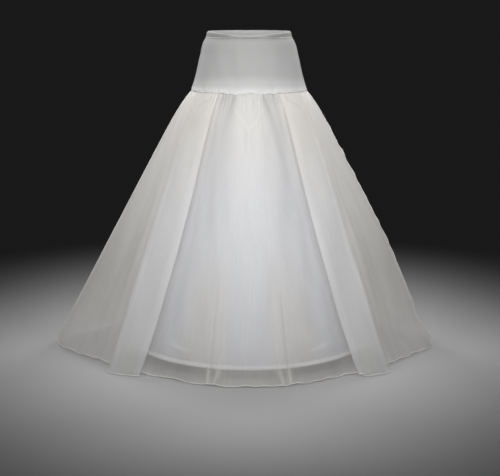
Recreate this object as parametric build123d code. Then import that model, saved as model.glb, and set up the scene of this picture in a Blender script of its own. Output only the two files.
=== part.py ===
from build123d import *
import math
import os

# A-line hoop petticoat, hung from the waist.
# A stretch hip yoke with an elastic waistband carries two skirts. The inner one is a plain lining, held out
# by one flat hoop in a tape casing at its hem. The outer one is a sheer overlay with a knife pleat at each
# side of its front and of its back, and wide wings at the sides.
# The origin is the middle of the waist, level with the top rim. +Z is up and -Y is the front.
# Every length is in millimetres and every angle in degrees. Cloth is built in flat facets.

# Heights, measured down from the top rim
BAND_DROP = 24.0
YOKE_FLARE_DROP = 145.0
HIP_DROP = 184.0
SHOULDER_DROP = 263.0
HOOP_DROP = 928.0
HEM_DROP = 970.0

# Ovals of the waist and hips: half the width, and half the depth from front to back
WAIST_HALF_WIDTH = 130.0
WAIST_HALF_DEPTH = 96.0
FLARE_HALF_WIDTH = 165.0
FLARE_HALF_DEPTH = 125.0
HIP_HALF_WIDTH = 177.0
HIP_HALF_DEPTH = 136.0

# Cloth
KNIT_WALL = 1.2
LINING_WALL = 1.0
OVERLAY_WALL = 1.0
SEAM_LAP = 12.0
LAYER_GAP = 0.4

# Waistband and the elastic inside it
FOLD_HEIGHT = 1.2
FOLD_INSET = 1.0
ELASTIC_THICKNESS = 2.0
ELASTIC_WIDTH = 20.0

# Hoop, its casing and the sleeve that joins its ends
HOOP_RADIUS = 380.0
HOOP_THICKNESS = 2.0
HOOP_WIDTH = 11.0
HOOP_END_GAP = 2.0
JOINER_LENGTH = 40.0
JOINER_WALL = 0.5
CASING_WALL = 0.8
CASING_GAP = 0.4

# Hem of the overlay
HEM_HALF_WIDTH = 600.0
HEM_HALF_DEPTH = 420.0
SHOULDER_FLARE_SHARE = 0.132

# Facets of half an oval, and facets between two rows of the table below
OVAL_FACETS = 40
HEM_FACETS = 2

# One quarter of the overlay's hem, from the middle of the front to the side seam. Each row is a share of
# the hem's half width, a share of its half depth, and a share of the quarter turn that the same thread
# of cloth takes at the hip seam.
HEM_QUARTER_SHARES = [
    (0.000, 1.000, 0.000),
    (0.070, 0.988, 0.028),
    (0.120, 0.964, 0.050),
    (0.167, 0.976, 0.072),
    (0.213, 0.957, 0.094),
    (0.275, 0.910, 0.122),
    (0.358, 0.852, 0.151),
    (0.437, 0.788, 0.178),
    (0.497, 0.731, 0.200),
    (0.525, 0.721, 0.216),
    (0.528, 0.750, 0.231),
    (0.508, 0.786, 0.247),
    (0.487, 0.814, 0.262),
    (0.495, 0.840, 0.284),
    (0.525, 0.836, 0.328),
    (0.575, 0.805, 0.422),
    (0.630, 0.760, 0.556),
    (0.670, 0.712, 0.672),
    (0.687, 0.662, 0.739),
    (0.683, 0.605, 0.778),
    (0.698, 0.540, 0.811),
    (0.747, 0.462, 0.850),
    (0.833, 0.345, 0.894),
    (0.927, 0.219, 0.939),
    (0.980, 0.107, 0.972),
    (1.000, 0.000, 1.000),
]

# Which half of the skirt a panel is
FRONT = -1
BACK = 1


def yoke_oval(drop, inset=0):
    """Half width and half depth of the yoke at that drop, less an inset. It flares more near the hips."""
    waist = (0, WAIST_HALF_WIDTH, WAIST_HALF_DEPTH)
    flare = (YOKE_FLARE_DROP, FLARE_HALF_WIDTH, FLARE_HALF_DEPTH)
    hip = (HIP_DROP, HIP_HALF_WIDTH, HIP_HALF_DEPTH)
    upper, lower = (waist, flare) if drop <= YOKE_FLARE_DROP else (flare, hip)
    share = (drop - upper[0]) / (lower[0] - upper[0])
    width = upper[1] + share * (lower[1] - upper[1])
    depth = upper[2] + share * (lower[2] - upper[2])
    return width - inset, depth - inset


def oval_points(oval, drop, turns):
    """Points of an oval at that drop, at the given angles from +X."""
    width, depth = oval
    turns = [math.radians(turn) for turn in turns]
    return [Vector(width * math.cos(turn), depth * math.sin(turn), -drop) for turn in turns]


def half_oval(oval, drop, half):
    """Points of half an oval, from side seam to side seam, round the front or the back."""
    start = 180 if half == FRONT else 0
    turns = [start + 180 * i / OVAL_FACETS for i in range(OVAL_FACETS + 1)]
    return oval_points(oval, drop, turns)


def whole_oval(oval, drop):
    """Points of a whole oval."""
    return oval_points(oval, drop, [180 * i / OVAL_FACETS for i in range(2 * OVAL_FACETS)])


def flat_face(*corners):
    return Face(Wire.make_polygon(corners, close=True))


def facet_solid(loops, capped):
    """A solid whose skin joins each closed loop of points to the next with flat triangles.

    It is capped at the first and last loops, or else the last loop joins the first again.
    """
    faces = [flat_face(*loops[0]), flat_face(*loops[-1])] if capped else []
    followers = loops[1:] if capped else loops[1:] + loops[:1]
    for loop, follower in zip(loops, followers):
        corners = zip(loop, loop[1:] + loop[:1], follower[1:] + follower[:1], follower)
        for a, b, c, d in corners:
            if (a - c).length < (b - d).length:
                faces += [flat_face(a, b, c), flat_face(a, c, d)]
            else:
                faces += [flat_face(a, b, d), flat_face(b, c, d)]
    return Solid(Shell(faces))


def oval_panel(levels, wall, half):
    """Half of an oval tube through levels of (oval, drop), from side seam to side seam."""
    loops = []
    for oval, drop in levels:
        inside = [size - wall for size in oval]
        loops.append(half_oval(oval, drop, half) + half_oval(inside, drop, half)[::-1])
    return facet_solid(loops, capped=True)


def waistband():
    """The casing folded over the elastic: an outer leg, a rounded fold at the rim and an inner leg."""
    cavity = KNIT_WALL + LAYER_GAP + ELASTIC_THICKNESS + LAYER_GAP
    thickness = cavity + KNIT_WALL
    profile = [
        (BAND_DROP, 0),
        (FOLD_HEIGHT, 0),
        (0, FOLD_INSET),
        (0, thickness - FOLD_INSET),
        (FOLD_HEIGHT, thickness),
        (BAND_DROP, thickness),
        (BAND_DROP, cavity),
        (FOLD_HEIGHT + KNIT_WALL, cavity),
        (FOLD_HEIGHT + KNIT_WALL, KNIT_WALL),
        (BAND_DROP, KNIT_WALL),
    ]
    return facet_solid([whole_oval(yoke_oval(drop, inset), drop) for drop, inset in profile], capped=False)


def waist_elastic():
    """The flat elastic loop inside the waistband."""
    outer = KNIT_WALL + LAYER_GAP
    inner = outer + ELASTIC_THICKNESS
    top = FOLD_HEIGHT + KNIT_WALL + LAYER_GAP
    foot = top + ELASTIC_WIDTH
    profile = [(foot, outer), (top, outer), (top, inner), (foot, inner)]
    return facet_solid([whole_oval(yoke_oval(drop, inset), drop) for drop, inset in profile], capped=False)


def yoke_panel(half):
    """Half of the stretch yoke, from the foot of the waistband to the hip seam."""
    drops = [BAND_DROP, YOKE_FLARE_DROP, HIP_DROP]
    return oval_panel([(yoke_oval(drop), drop) for drop in drops], KNIT_WALL, half)


def lining_panel(half):
    """Half of the lining: lapped inside the overlay at the hip seam, then straight to the hoop casing."""
    inset = KNIT_WALL + LAYER_GAP + OVERLAY_WALL + LAYER_GAP
    top = HIP_DROP - SEAM_LAP
    foot = HOOP_DROP - casing_size()[1] / 2
    foot_radius = HOOP_RADIUS + LINING_WALL / 2
    levels = [(yoke_oval(drop, inset), drop) for drop in (top, HIP_DROP)]
    levels.append(((foot_radius, foot_radius), foot))
    return oval_panel(levels, LINING_WALL, half)


def casing_size():
    """Thickness and height of the hoop casing, around the sleeve on the hoop's ends."""
    border = CASING_GAP + JOINER_WALL + CASING_GAP + CASING_WALL
    return HOOP_THICKNESS + 2 * border, HOOP_WIDTH + 2 * border


def hoop_section(thickness, height):
    """The upright section of a flat hoop, in the plane that is turned about the Z axis."""
    return Plane.XZ * Pos(HOOP_RADIUS, -HOOP_DROP) * Rectangle(thickness, height)


def hoop_casing():
    """The tape tunnel at the lining's hem, all the way round."""
    tunnel = [size - 2 * CASING_WALL for size in casing_size()]
    return revolve(hoop_section(*casing_size()) - hoop_section(*tunnel), Axis.Z, 360)


def hoop_angle(length):
    """The angle that an arc of that length takes at the hoop's radius."""
    return math.degrees(length / HOOP_RADIUS)


def hoop():
    """The flat hoop, whose two ends nearly meet at the middle of the back."""
    gap = hoop_angle(HOOP_END_GAP)
    turn = revolve(hoop_section(HOOP_THICKNESS, HOOP_WIDTH), Axis.Z, 360 - gap)
    return Rot(0, 0, 90 + gap / 2) * turn


def hoop_joiner():
    """The sleeve over the two ends of the hoop."""
    inside = [size + 2 * CASING_GAP for size in (HOOP_THICKNESS, HOOP_WIDTH)]
    outside = [size + 2 * JOINER_WALL for size in inside]
    angle = hoop_angle(JOINER_LENGTH)
    sleeve = revolve(hoop_section(*outside) - hoop_section(*inside), Axis.Z, angle)
    return Rot(0, 0, 90 - angle / 2) * sleeve


def overlay_row(drop, flare, half):
    """The table's points at that drop, from one side seam to the other, on the overlay's outside.

    flare is 0 where the cloth lies against the yoke's oval and 1 where it takes the plan of the hem.
    """
    hip_width, hip_depth = yoke_oval(min(drop, HIP_DROP), KNIT_WALL + LAYER_GAP)
    quarter = []
    for width_share, depth_share, turn_share in HEM_QUARTER_SHARES:
        turn = math.radians(90 * turn_share)
        x = (1 - flare) * hip_width * math.sin(turn) + flare * HEM_HALF_WIDTH * width_share
        y = (1 - flare) * hip_depth * math.cos(turn) + flare * HEM_HALF_DEPTH * depth_share
        quarter.append((x, y))
    row = [(-x, y) for x, y in quarter[:0:-1]] + quarter
    return [Vector(-half * x, half * y, -drop) for x, y in row]


def hem_lengths():
    """Where each point of the table lies along the hem. Every level uses these, to join the same threads."""
    row = overlay_row(HEM_DROP, 1, FRONT)
    steps = [(b - a).length for a, b in zip(row, row[1:])]
    return [sum(steps[:i]) for i in range(len(row))]


def overlay_loop(drop, flare, half):
    """The overlay's thin closed loop at that drop: a smooth curve through the table, and its inside."""
    lengths = hem_lengths()
    curve = Edge.make_spline(overlay_row(drop, flare, half), parameters=lengths)
    places = [lengths[0] / lengths[-1]]
    for a, b in zip(lengths, lengths[1:]):
        places += [(a + (b - a) * (i + 1) / HEM_FACETS) / lengths[-1] for i in range(HEM_FACETS)]
    outer = [curve.position_at(place, position_mode=PositionMode.PARAMETER) for place in places]
    along = [curve.tangent_at(place, position_mode=PositionMode.PARAMETER) for place in places]
    along[0] = Vector(0, half, 0)
    along[-1] = Vector(0, -half, 0)
    inner = [point - way.cross(Vector(0, 0, 1)) * OVERLAY_WALL for point, way in zip(outer, along)]
    return outer + inner[::-1]


def overlay_panel(half):
    """Half of the sheer overlay: lapped inside the yoke at the hips, then flaring into pleats and wings."""
    middle_drop = (SHOULDER_DROP + HEM_DROP) / 2
    middle_flare = (SHOULDER_FLARE_SHARE + 1) / 2
    loops = [
        overlay_loop(HIP_DROP - SEAM_LAP, 0, half),
        overlay_loop(HIP_DROP, 0, half),
        overlay_loop(SHOULDER_DROP, SHOULDER_FLARE_SHARE, half),
        overlay_loop(middle_drop, middle_flare, half),
        overlay_loop(HEM_DROP, 1, half),
    ]
    return facet_solid(loops, capped=True)


pieces = {
    "waistband": waistband(),
    "waist_elastic": waist_elastic(),
    "yoke_front": yoke_panel(FRONT),
    "yoke_back": yoke_panel(BACK),
    "lining_front": lining_panel(FRONT),
    "lining_back": lining_panel(BACK),
    "hoop_casing": hoop_casing(),
    "hoop": hoop(),
    "hoop_joiner": hoop_joiner(),
    "overlay_front": overlay_panel(FRONT),
    "overlay_back": overlay_panel(BACK),
}

os.makedirs("parts", exist_ok=True)
for name, piece in pieces.items():
    export_step(piece, f"parts/{name}.step")
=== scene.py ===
import math

import bpy
import numpy as np
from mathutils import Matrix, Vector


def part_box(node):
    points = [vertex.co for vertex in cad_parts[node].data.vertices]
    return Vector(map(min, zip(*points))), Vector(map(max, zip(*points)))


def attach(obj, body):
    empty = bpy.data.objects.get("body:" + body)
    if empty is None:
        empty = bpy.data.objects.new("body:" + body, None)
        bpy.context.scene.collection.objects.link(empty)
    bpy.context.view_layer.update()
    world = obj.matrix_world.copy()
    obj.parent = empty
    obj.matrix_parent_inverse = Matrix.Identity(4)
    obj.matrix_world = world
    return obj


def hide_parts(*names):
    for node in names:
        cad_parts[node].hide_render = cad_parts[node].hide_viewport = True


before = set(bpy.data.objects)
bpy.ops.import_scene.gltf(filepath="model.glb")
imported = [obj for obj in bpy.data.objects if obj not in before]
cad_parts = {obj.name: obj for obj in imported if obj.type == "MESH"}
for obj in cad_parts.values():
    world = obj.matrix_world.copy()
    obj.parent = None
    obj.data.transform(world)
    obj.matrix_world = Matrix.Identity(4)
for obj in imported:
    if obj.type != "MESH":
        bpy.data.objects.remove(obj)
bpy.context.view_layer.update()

# A-line hoop petticoat. The cloth is built here as sheets, in metres, in the part's own frame:
# origin at the middle of the waist rim, +Z up, front at -Y.
# t is the share of the way down the overlay from hip seam to hem, and turn the angle of a thread at the
# hip seam, in degrees from the middle of the front or back.

FRONT = -1
BACK = 1

# Heights down from the rim, and the yoke's outside as drop, half width and half depth
BAND_DROP = 0.024
HIP_DROP = 0.176
SEAM_LAP = 0.012
HOOP_DROP = 0.928
HEM_DROP = 0.970
YOKE_LEVELS = np.array([
    (0.000, 0.1240, 0.0915),
    (0.014, 0.1262, 0.0935),
    (0.027, 0.1343, 0.1004),
    (0.072, 0.1474, 0.1104),
    (0.145, 0.1650, 0.1250),
    (0.184, 0.1770, 0.1360),
    (0.220, 0.1895, 0.1480),
])
HIP_OVAL = YOKE_LEVELS[-2, 1:]
HOOP_RADIUS = 0.380
CASING_THICKNESS = 0.0062
CASING_HEIGHT = 0.0130

# How far each layer lies inside the yoke's outside at the hip seam
OVERLAY_INSET = 0.0012
LINING_INSET = 0.0034

# One quarter of the overlay's hem, from the middle of the front to the side seam, with a box pleat
# between the centre panel and the wing. Rows of the two panels: place across and forward at the hem,
# angle of the same thread at the hip seam, how deep it lies there, and its share of the bow in the
# pleat's inner edge.
CENTRE_PANEL = [
    (0.000, 0.4200, 0.0, 0.0000, 0.0),
    (0.060, 0.4160, 5.6, 0.0000, 0.0),
    (0.120, 0.4030, 11.0, 0.0000, 0.0),
    (0.180, 0.3770, 17.0, 0.0001, 0.1),
    (0.240, 0.3440, 23.0, 0.0004, 0.5),
    (0.297, 0.3090, 28.8, 0.0008, 0.9),
]
WING = [
    (0.405, 0.2430, 64.8, 0.0010, 0.0),
    (0.419, 0.2270, 68.5, 0.0008, 0.0),
    (0.448, 0.1940, 73.5, 0.0004, 0.0),
    (0.500, 0.1450, 78.8, 0.0001, 0.0),
    (0.556, 0.0920, 83.8, 0.0, 0.0),
    (0.588, 0.0450, 87.2, 0.0, 0.0),
    (0.600, 0.0000, 90.0, 0.0, 0.0),
]
# The pleat's face runs between two edges. Rows of the pleat: how far along the face and how far under
# it, depth at the hip seam, how far the row belongs to the face, and how near it is to an edge of it.
PLEAT_INNER = np.array([0.316, 0.325])
PLEAT_OUTER = np.array([0.411, 0.287])
PLEAT_ANGLES = (30.0, 61.5)
PLEAT = [
    (0.0200, 0.0240, 0.0008, 0.00, 0.0),
    (0.0380, 0.0235, 0.0008, 0.00, 0.0),
    (0.0475, 0.0215, 0.0008, 0.05, 0.0),
    (0.0505, 0.0178, 0.0006, 0.15, 0.0),
    (0.0470, 0.0140, 0.0004, 0.30, 0.0),
    (0.0300, 0.0115, 0.0004, 0.60, 0.0),
    (0.0130, 0.0100, 0.0003, 0.85, 0.3),
    (0.0030, 0.0065, 0.0002, 0.95, 0.8),
    (0.0000, 0.0000, 0.0000, 1.00, 1.0),
    (0.0080, -0.0055, 0.0000, 1.00, 1.0),
    (0.0260, -0.0085, 0.0000, 1.00, 0.0),
    (0.0520, -0.0095, 0.0000, 1.00, 0.0),
    (0.0780, -0.0075, 0.0000, 1.00, 0.0),
    (0.0950, -0.0035, 0.0000, 1.00, 0.8),
    (0.1023, 0.0030, 0.0001, 1.00, 1.0),
    (0.1035, 0.0095, 0.0002, 0.95, 0.8),
    (0.0970, 0.0140, 0.0004, 0.80, 0.3),
    (0.0800, 0.0165, 0.0004, 0.60, 0.0),
    (0.0620, 0.0200, 0.0006, 0.40, 0.0),
    (0.0535, 0.0240, 0.0008, 0.25, 0.0),
    (0.0505, 0.0290, 0.0010, 0.15, 0.0),
    (0.0550, 0.0330, 0.0012, 0.10, 0.0),
    (0.0720, 0.0350, 0.0012, 0.05, 0.0),
    (0.0930, 0.0375, 0.0011, 0.00, 0.0),
]


def quarter_rows():
    """All rows of the quarter: across, forward, seam angle, seam depth, bow, raised, edge."""
    face = PLEAT_OUTER - PLEAT_INNER
    width = np.hypot(*face)
    along_face = face / width
    under_face = np.array([along_face[1], -along_face[0]])
    pleat = []
    for along, under, depth, raised, edge in PLEAT:
        across, forward = PLEAT_INNER + along * along_face + under * under_face
        share = along / width
        angle = PLEAT_ANGLES[0] + share * (PLEAT_ANGLES[1] - PLEAT_ANGLES[0])
        pleat.append((across, forward, angle, depth, 1 - min(share, 1), raised, edge))
    flat = (0.0, 0.0)
    return np.array([row + flat for row in CENTRE_PANEL] + pleat + [row + flat for row in WING])


def smooth_path(points, at, lengths):
    """A smooth curve through points that lie at the given lengths, read at other lengths."""
    points = np.asarray(points, float)
    step = np.diff(lengths)
    slope = np.diff(points, axis=0) / step[:, None]
    tangent = np.empty_like(points)
    before, after = step[:-1, None], step[1:, None]
    tangent[1:-1] = (slope[:-1] * after + slope[1:] * before) / (before + after)
    tangent[0], tangent[-1] = slope[0], slope[-1]
    i = np.clip(np.searchsorted(lengths, at, side="right") - 1, 0, len(step) - 1)
    h = step[i]
    s = ((at - lengths[i]) / h)[:, None]
    h = h[:, None]
    return (
        (2 * s**3 - 3 * s**2 + 1) * points[i]
        + (s**3 - 2 * s**2 + s) * h * tangent[i]
        + (3 * s**2 - 2 * s**3) * points[i + 1]
        + (s**3 - s**2) * h * tangent[i + 1]
    )


def yoke_oval(drop):
    """Half width and half depth of the yoke's outside at each drop."""
    drop = np.atleast_1d(np.asarray(drop, float))
    return smooth_path(YOKE_LEVELS[:, 1:], np.clip(drop, 0, YOKE_LEVELS[-1, 0]), YOKE_LEVELS[:, 0])


def add_mesh(name, points, faces, uvs=None):
    """A smooth shaded mesh object. uvs holds one pair for each point."""
    mesh = bpy.data.meshes.new(name)
    mesh.from_pydata(points.tolist(), [], faces.tolist())
    mesh.shade_smooth()
    if uvs is not None:
        corner = np.empty(len(mesh.loops), int)
        mesh.loops.foreach_get("vertex_index", corner)
        mesh.uv_layers.new(name="cloth").data.foreach_set("uv", uvs[corner].ravel())
    piece = bpy.data.objects.new(name, mesh)
    bpy.context.scene.collection.objects.link(piece)
    return piece


def grid_faces(rows, columns, around=False, closed=False):
    """Quads of a grid of points.

    around joins the last column to the first, and closed the last row to the first.
    """
    r = np.arange(rows if closed else rows - 1)
    c = np.arange(columns if around else columns - 1)
    r, c = np.meshgrid(r, c, indexing="ij")
    r2, c2 = (r + 1) % rows, (c + 1) % columns
    quads = np.stack([r * columns + c, r2 * columns + c, r2 * columns + c2, r * columns + c2], axis=-1)
    return quads.reshape(-1, 4)


def grid_piece(name, grid, around=False, closed=False, uv=None):
    """A piece from a grid of points, rows by columns."""
    rows, columns = grid.shape[:2]
    uvs = None if uv is None else uv.reshape(-1, 2)
    return add_mesh(name, grid.reshape(-1, 3), grid_faces(rows, columns, around, closed), uvs)


def add_values(piece, **values):
    """Gives a mesh one named number for each point."""
    for name, numbers in values.items():
        attribute = piece.data.attributes.new(name, "FLOAT", "POINT")
        attribute.data.foreach_set("value", np.ascontiguousarray(numbers, np.float32).ravel())


def thicken(piece, thickness):
    """Gives a sheet its thickness, half of it on each side."""
    solidify = piece.modifiers.new("thickness", "SOLIDIFY")
    solidify.thickness = thickness
    solidify.offset = 0
    bpy.context.view_layer.objects.active = piece
    bpy.ops.object.modifier_apply(modifier=solidify.name)


def full_turn(count):
    """Angles spread evenly over a full turn, in radians."""
    return np.linspace(0, 2 * math.pi, count, endpoint=False)


def round_line(turn, width, depth, level):
    """Points round an oval of half width and half depth, at the given angles and level."""
    return np.stack(np.broadcast_arrays(width * np.cos(turn), depth * np.sin(turn), level), axis=-1)


def lengths_along(path):
    """How far along a path each of its points lies."""
    return np.concatenate([[0], np.cumsum(np.linalg.norm(np.diff(path, axis=0), axis=1))])


def place(piece, slot, material, *nodes):
    """Puts a finished piece on the body, with its finish and the nodes that it stands for."""
    piece.data.materials.clear()
    piece.data.materials.append(material)
    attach(piece, "root")
    if nodes:
        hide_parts(*nodes)
    return piece


# Materials

# A thread's pitch over its height
THREAD_SLENDERNESS = 3
# How far a wave texture of scale 1 turns in one unit, in radians
WAVE_TURN = 20
# Sockets of a Mix node: its two numbers, its two colours and the mixed colour
NUMBER_A, NUMBER_B = 2, 3
COLOUR_A, COLOUR_B, COLOUR_OUT = 6, 7, 2
# The share of light that scatters through the organza
TRANSLUCENT_SHARE = 0.28


def new_material(name, colour, roughness, sheen=0.0):
    material = bpy.data.materials.new(name)
    material.use_nodes = True
    shader = material.node_tree.nodes["Principled BSDF"]
    shader.inputs["Base Color"].default_value = (*colour, 1)
    shader.inputs["Roughness"].default_value = roughness
    shader.inputs["Sheen Weight"].default_value = sheen
    shader.inputs["Sheen Roughness"].default_value = 0.4
    return material, material.node_tree, shader


def join(output, socket):
    output.id_data.links.new(output, socket)


def add_node(tree, kind, **settings):
    """A new node. A setting is a property of the node, or an input's value or the output that feeds it."""
    node = tree.nodes.new(kind)
    for name, value in settings.items():
        if name not in node.inputs:
            setattr(node, name, value)
        elif isinstance(value, bpy.types.NodeSocket):
            join(value, node.inputs[name])
        else:
            node.inputs[name].default_value = value
    return node


def map_range(tree, value, span, to_span, interpolation="LINEAR"):
    """A number moved from one span to another."""
    node = add_node(tree, "ShaderNodeMapRange", interpolation_type=interpolation)
    for socket, limit in zip(node.inputs[1:5], (*span, *to_span)):
        socket.default_value = limit
    join(value, node.inputs[0])
    return node.outputs[0]


def combine(tree, operation, first, second, clamp=False):
    """Two numbers combined into one."""
    node = add_node(tree, "ShaderNodeMath", operation=operation, use_clamp=clamp)
    join(first, node.inputs[0])
    join(second, node.inputs[1])
    return node.outputs[0]


def mix_shaders(tree, share, first, second):
    """Two shaders mixed by the share of the second, a number or the output of a node."""
    mix = add_node(tree, "ShaderNodeMixShader", Fac=share)
    join(first.outputs[0], mix.inputs[1])
    join(second.outputs[0], mix.inputs[2])
    return mix


def drift_colour(tree, noise, shade, colour):
    """Lets a material's colour drift between two tones."""
    tone = add_node(tree, "ShaderNodeMix", data_type="RGBA", Factor=noise)
    tone.inputs[COLOUR_A].default_value = (*shade, 1)
    tone.inputs[COLOUR_B].default_value = (*colour, 1)
    join(tone.outputs[COLOUR_OUT], tree.nodes["Principled BSDF"].inputs["Base Color"])


def shade_colour(tree, share):
    """Multiplies a material's colour by a share of light, and returns the shaded colour."""
    colour = tree.nodes["Principled BSDF"].inputs["Base Color"]
    shaded = add_node(tree, "ShaderNodeMix", data_type="RGBA", blend_type="MULTIPLY", Factor=1)
    join(colour.links[0].from_socket, shaded.inputs[COLOUR_A])
    join(share, shaded.inputs[COLOUR_B])
    join(shaded.outputs[COLOUR_OUT], colour)
    return shaded.outputs[COLOUR_OUT]


def cloth_place(tree):
    """A place in the cloth's UV, in metres."""
    return add_node(tree, "ShaderNodeUVMap", uv_map="cloth").outputs["UV"]


def cloth_height(tree):
    """The height of a place in the cloth's UV."""
    return add_node(tree, "ShaderNodeSeparateXYZ", Vector=cloth_place(tree)).outputs["Y"]


def drawn_noise(tree, scale):
    """Noise drawn out along one direction of the cloth."""
    stretch = add_node(tree, "ShaderNodeMapping", Vector=cloth_place(tree), Scale=scale)
    noise = add_node(tree, "ShaderNodeTexNoise", Vector=stretch.outputs[0], Scale=1.0, Detail=3.0)
    return noise.outputs["Fac"]


def cloth_material(name, colour, shade, roughness, sheen, thread, ribs, bump):
    """Cloth whose colour drifts between two tones, with threads along its UV directions, in metres.

    thread is the pitch of the threads across the cloth and ribs how strongly they stand over those along it.
    """
    material, tree, shader = new_material(name, colour, roughness, sheen)
    wave = {
        "wave_type": "BANDS", "Vector": cloth_place(tree),
        "Scale": 2 * math.pi / WAVE_TURN / thread, "Distortion": 0.6,
    }
    across = add_node(tree, "ShaderNodeTexWave", bands_direction="X", **wave)
    along = add_node(tree, "ShaderNodeTexWave", bands_direction="Y", **wave)
    weave = add_node(tree, "ShaderNodeMix", data_type="FLOAT", Factor=ribs)
    join(along.outputs["Fac"], weave.inputs[NUMBER_A])
    join(across.outputs["Fac"], weave.inputs[NUMBER_B])
    relief = add_node(tree, "ShaderNodeBump", Height=weave.outputs[0], Strength=bump)
    relief.inputs["Distance"].default_value = thread / THREAD_SLENDERNESS
    join(relief.outputs["Normal"], shader.inputs["Normal"])
    coords = add_node(tree, "ShaderNodeTexCoord")
    drift = add_node(
        tree, "ShaderNodeTexNoise", Vector=coords.outputs["Object"], Scale=14.0, Detail=5.0, Roughness=0.6
    )
    drift_colour(tree, drift.outputs["Fac"], shade, colour)
    return material


def fade_along(material, *stops):
    """Shades a cloth's colour along its length. Each stop is a height in its UV and a share of its colour."""
    tree = material.node_tree
    first, last = stops[0][0], stops[-1][0]
    run = map_range(tree, cloth_height(tree), (first, last), (0, 1))
    ramp = add_node(tree, "ShaderNodeValToRGB", Fac=run)
    ramp.color_ramp.interpolation = "EASE"
    # A ramp starts with two elements. Their places are set below.
    for _ in stops[2:]:
        ramp.color_ramp.elements.new(0.5)
    for element, (height, share) in zip(ramp.color_ramp.elements, stops):
        element.position = (height - first) / (last - first)
        element.color = (share, share, share, 1)
    shade_colour(tree, ramp.outputs[0])


def paint_light_and_shade_by_points(material):
    """Paints light and shade into a cloth's colour by its own tone value: painted shade where it is below 1,
    as in the hollows between folds, and painted light where it is above 1.
    """
    tree = material.node_tree
    tone = add_node(tree, "ShaderNodeAttribute", attribute_name="tone")
    return shade_colour(tree, tone.outputs["Fac"])


def organza_material(name, colour, shade, face_colour, seam_cover, hem_cover):
    """Sheer cloth: threads that scatter light both ways, with gaps between them.

    The gathers at the hip seam make it closer there than at the hem, so its cover falls on the way down.
    The cloth's own layers value says where it is doubled or gathered, its cool value where it is a
    cooler white, and its tone value paints light and shade into its colour.
    """
    material = cloth_material(
        name, colour, shade, roughness=0.45, sheen=0.25, thread=0.0012, ribs=0.5, bump=0.25
    )
    tree = material.node_tree
    threads = tree.nodes["Principled BSDF"]
    cool = add_node(tree, "ShaderNodeAttribute", attribute_name="cool")
    whiter = add_node(tree, "ShaderNodeMix", data_type="RGBA", Factor=cool.outputs["Fac"])
    whiter.inputs[COLOUR_B].default_value = (*face_colour, 1)
    join(threads.inputs["Base Color"].links[0].from_socket, whiter.inputs[COLOUR_A])
    join(whiter.outputs[COLOUR_OUT], threads.inputs["Base Color"])
    through = add_node(tree, "ShaderNodeBsdfTranslucent", Color=paint_light_and_shade_by_points(material))
    cloth = mix_shaders(tree, TRANSLUCENT_SHARE, threads, through)
    cover = map_range(tree, cloth_height(tree), (-HIP_DROP, -HEM_DROP), (seam_cover, hem_cover))
    slubs = drawn_noise(tree, scale=(60, 900, 1))
    streaks = drawn_noise(tree, scale=(260, 9, 1))
    uneven = map_range(tree, combine(tree, "ADD", slubs, streaks), (0.6, 1.4), (0.93, 1.07))
    even = combine(tree, "MULTIPLY", cover, uneven)
    layers = add_node(tree, "ShaderNodeAttribute", attribute_name="layers")
    closed = combine(tree, "MULTIPLY", even, layers.outputs["Fac"], clamp=True)
    gaps = add_node(tree, "ShaderNodeBsdfTransparent")
    sheer = mix_shaders(tree, closed, gaps, cloth)
    join(sheer.outputs[0], tree.nodes["Material Output"].inputs["Surface"])
    return material


def plastic_material(name, colour, shade, roughness, grain, bump):
    """Moulded plastic with a faint grain and uneven gloss."""
    material, tree, shader = new_material(name, colour, roughness)
    coords = add_node(tree, "ShaderNodeTexCoord")
    noise = add_node(tree, "ShaderNodeTexNoise", Vector=coords.outputs["Object"], Scale=grain, Detail=4.0)
    drift_colour(tree, noise.outputs["Fac"], shade, colour)
    gloss = map_range(tree, noise.outputs["Fac"], (0, 1), (roughness * 0.8, roughness * 1.3))
    join(gloss, shader.inputs["Roughness"])
    relief = add_node(tree, "ShaderNodeBump", Height=noise.outputs["Fac"], Strength=bump, Distance=0.0002)
    join(relief.outputs["Normal"], shader.inputs["Normal"])
    return material


organza = organza_material(
    "organza", (0.90, 0.878, 0.843), (0.84, 0.818, 0.783),
    face_colour=(0.865, 0.867, 0.880), seam_cover=0.62, hem_cover=0.43,
)
# Other cloths: colour, its darker shade, roughness, sheen, pitch of the threads, ribs and bump
CLOTHS = {
    "lining_cloth": ((0.69, 0.692, 0.715), (0.64, 0.642, 0.665), 0.5, 0.2, 0.0010, 0.5, 0.2),
    "knit": ((0.70, 0.705, 0.695), (0.66, 0.665, 0.655), 0.7, 0.3, 0.0018, 0.85, 0.5),
    "band_knit": ((0.52, 0.52, 0.51), (0.48, 0.48, 0.47), 0.7, 0.3, 0.0018, 0.85, 0.5),
    "seam_knit": ((0.86, 0.86, 0.85), (0.78, 0.78, 0.77), 0.7, 0.3, 0.0014, 0.7, 0.5),
    "tape": ((0.95, 0.95, 0.95), (0.90, 0.90, 0.90), 0.6, 0.2, 0.0014, 0.3, 0.4),
    "elastic_web": ((0.80, 0.80, 0.79), (0.72, 0.72, 0.71), 0.7, 0.1, 0.0016, 0.9, 0.6),
    "band_thread": ((0.50, 0.50, 0.49), (0.44, 0.44, 0.43), 0.5, 0.2, 0.0008, 0.5, 0.3),
    "roll_cloth": ((0.82, 0.81, 0.79), (0.74, 0.73, 0.71), 0.5, 0.2, 0.0010, 0.5, 0.3),
    "thread": ((0.92, 0.91, 0.90), (0.84, 0.83, 0.82), 0.5, 0.2, 0.0008, 0.5, 0.3),
}
cloths = {name: cloth_material(name, *row) for name, row in CLOTHS.items()}
# Painted shade: the lining's colour darkens towards the hoop
fade_along(cloths["lining_cloth"], (-HIP_DROP, 1.0), (-0.72, 1.0), (-0.84, 0.98), (-HOOP_DROP, 0.84))
fade_along(cloths["knit"], (-BAND_DROP, 0.60), (-0.118, 0.62), (-0.148, 0.76), (-HIP_DROP, 1.0))
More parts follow.
